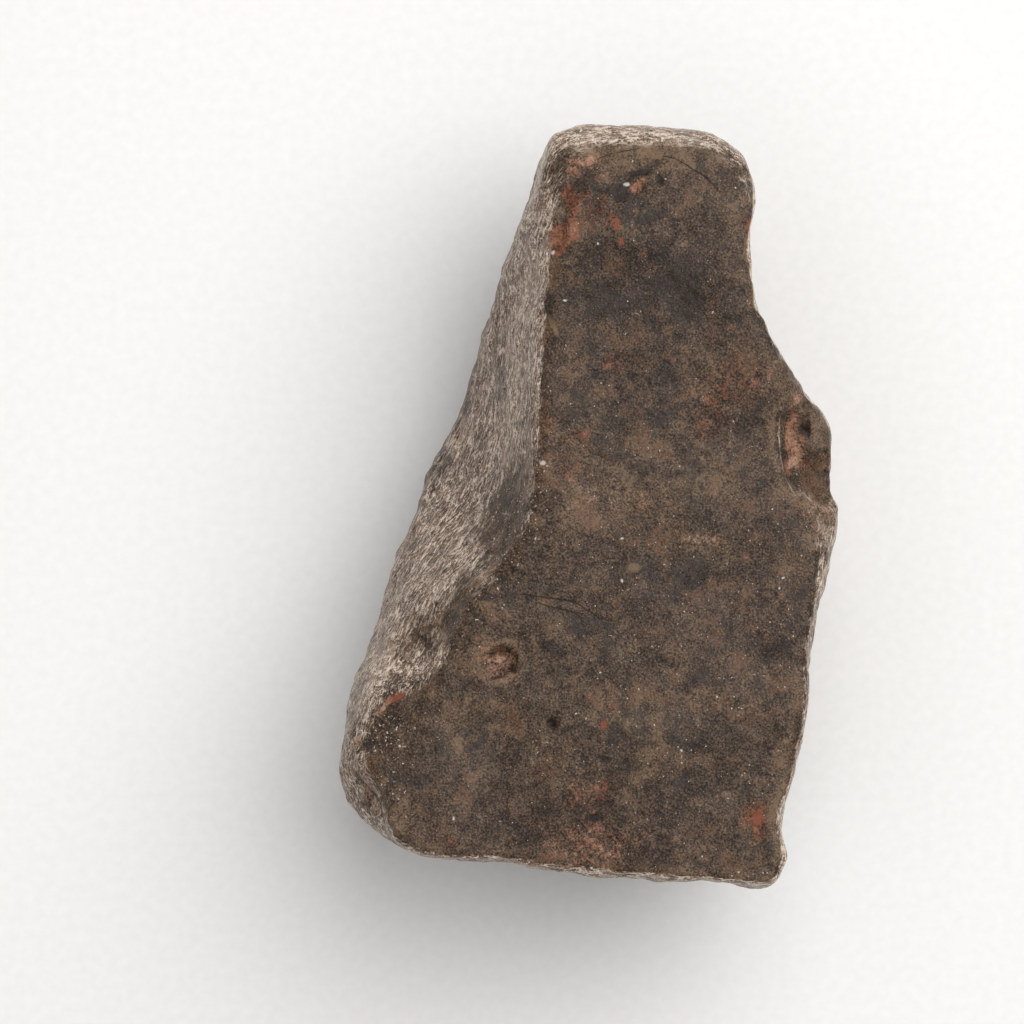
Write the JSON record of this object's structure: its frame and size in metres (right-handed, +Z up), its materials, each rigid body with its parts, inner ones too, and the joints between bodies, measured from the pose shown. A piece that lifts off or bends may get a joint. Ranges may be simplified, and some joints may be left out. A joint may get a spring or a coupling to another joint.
{
  "type": "stony meteorite specimen",
  "caption": "Broken chunk of weathered stony meteorite with a broad flat top, a steep left flank, a narrow nose, a chipped shoulder and a flat resting face.",
  "frame": {"origin": "middle of the stone's plan box, on the resting face", "axes": "+Z up from the resting face, +Y along the long dimension towards the narrow nose, +X towards the broken shoulder"},
  "size_m": [0.0521, 0.0799, 0.0344],
  "materials": {
    "stone": "weathered brown chondrite with a thin desert varnish, satin, with rust stains"
  },
  "bodies": {
    "root": {"meteorite": "stone"}
  },
  "joints": []
}
